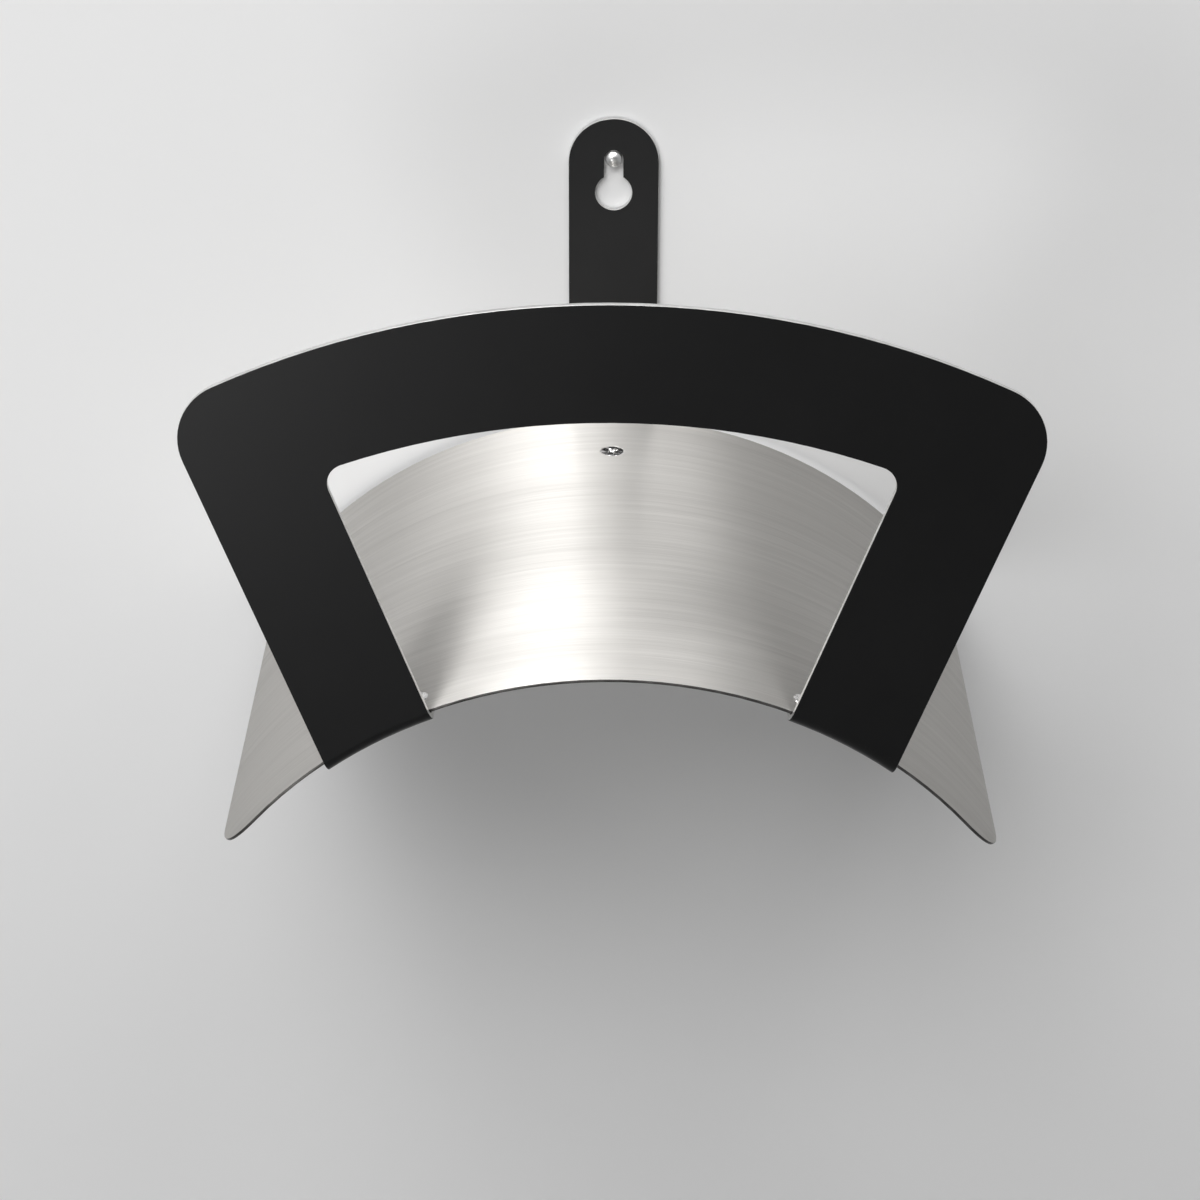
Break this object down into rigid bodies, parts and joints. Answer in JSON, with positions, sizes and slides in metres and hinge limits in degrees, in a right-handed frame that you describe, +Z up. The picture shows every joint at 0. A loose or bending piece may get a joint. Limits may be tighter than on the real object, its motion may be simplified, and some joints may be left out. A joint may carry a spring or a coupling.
{
  "type": "hose hanger",
  "caption": "Wall-mounted hose hanger: keyhole strip, arched steel saddle that carries the coil, and an arched black front guard with legs folded under the saddle.",
  "frame": {"origin": "on the wall plane, in the middle of the keyhole's round hole", "axes": "+X to the right seen from the front, +Y into the wall, +Z up"},
  "size_m": [0.242, 0.2, 0.1791],
  "materials": {
    "black_coating": "satin black powder coat on steel sheet",
    "brushed_steel": "stainless steel brushed along the arc",
    "bright_steel": "bright zinc or stainless hardware"
  },
  "bodies": {
    "root": {"saddle": "brushed_steel", "front_guard": "black_coating", "wall_strip": "black_coating", "rear_screw": "bright_steel", "left_inner_screw": "bright_steel", "left_outer_screw": "bright_steel", "right_inner_screw": "bright_steel", "right_outer_screw": "bright_steel", "rear_nut": "bright_steel", "left_inner_nut": "bright_steel", "left_outer_nut": "bright_steel", "right_inner_nut": "bright_steel", "right_outer_nut": "bright_steel", "wall_pin": "bright_steel"}
  },
  "joints": []
}
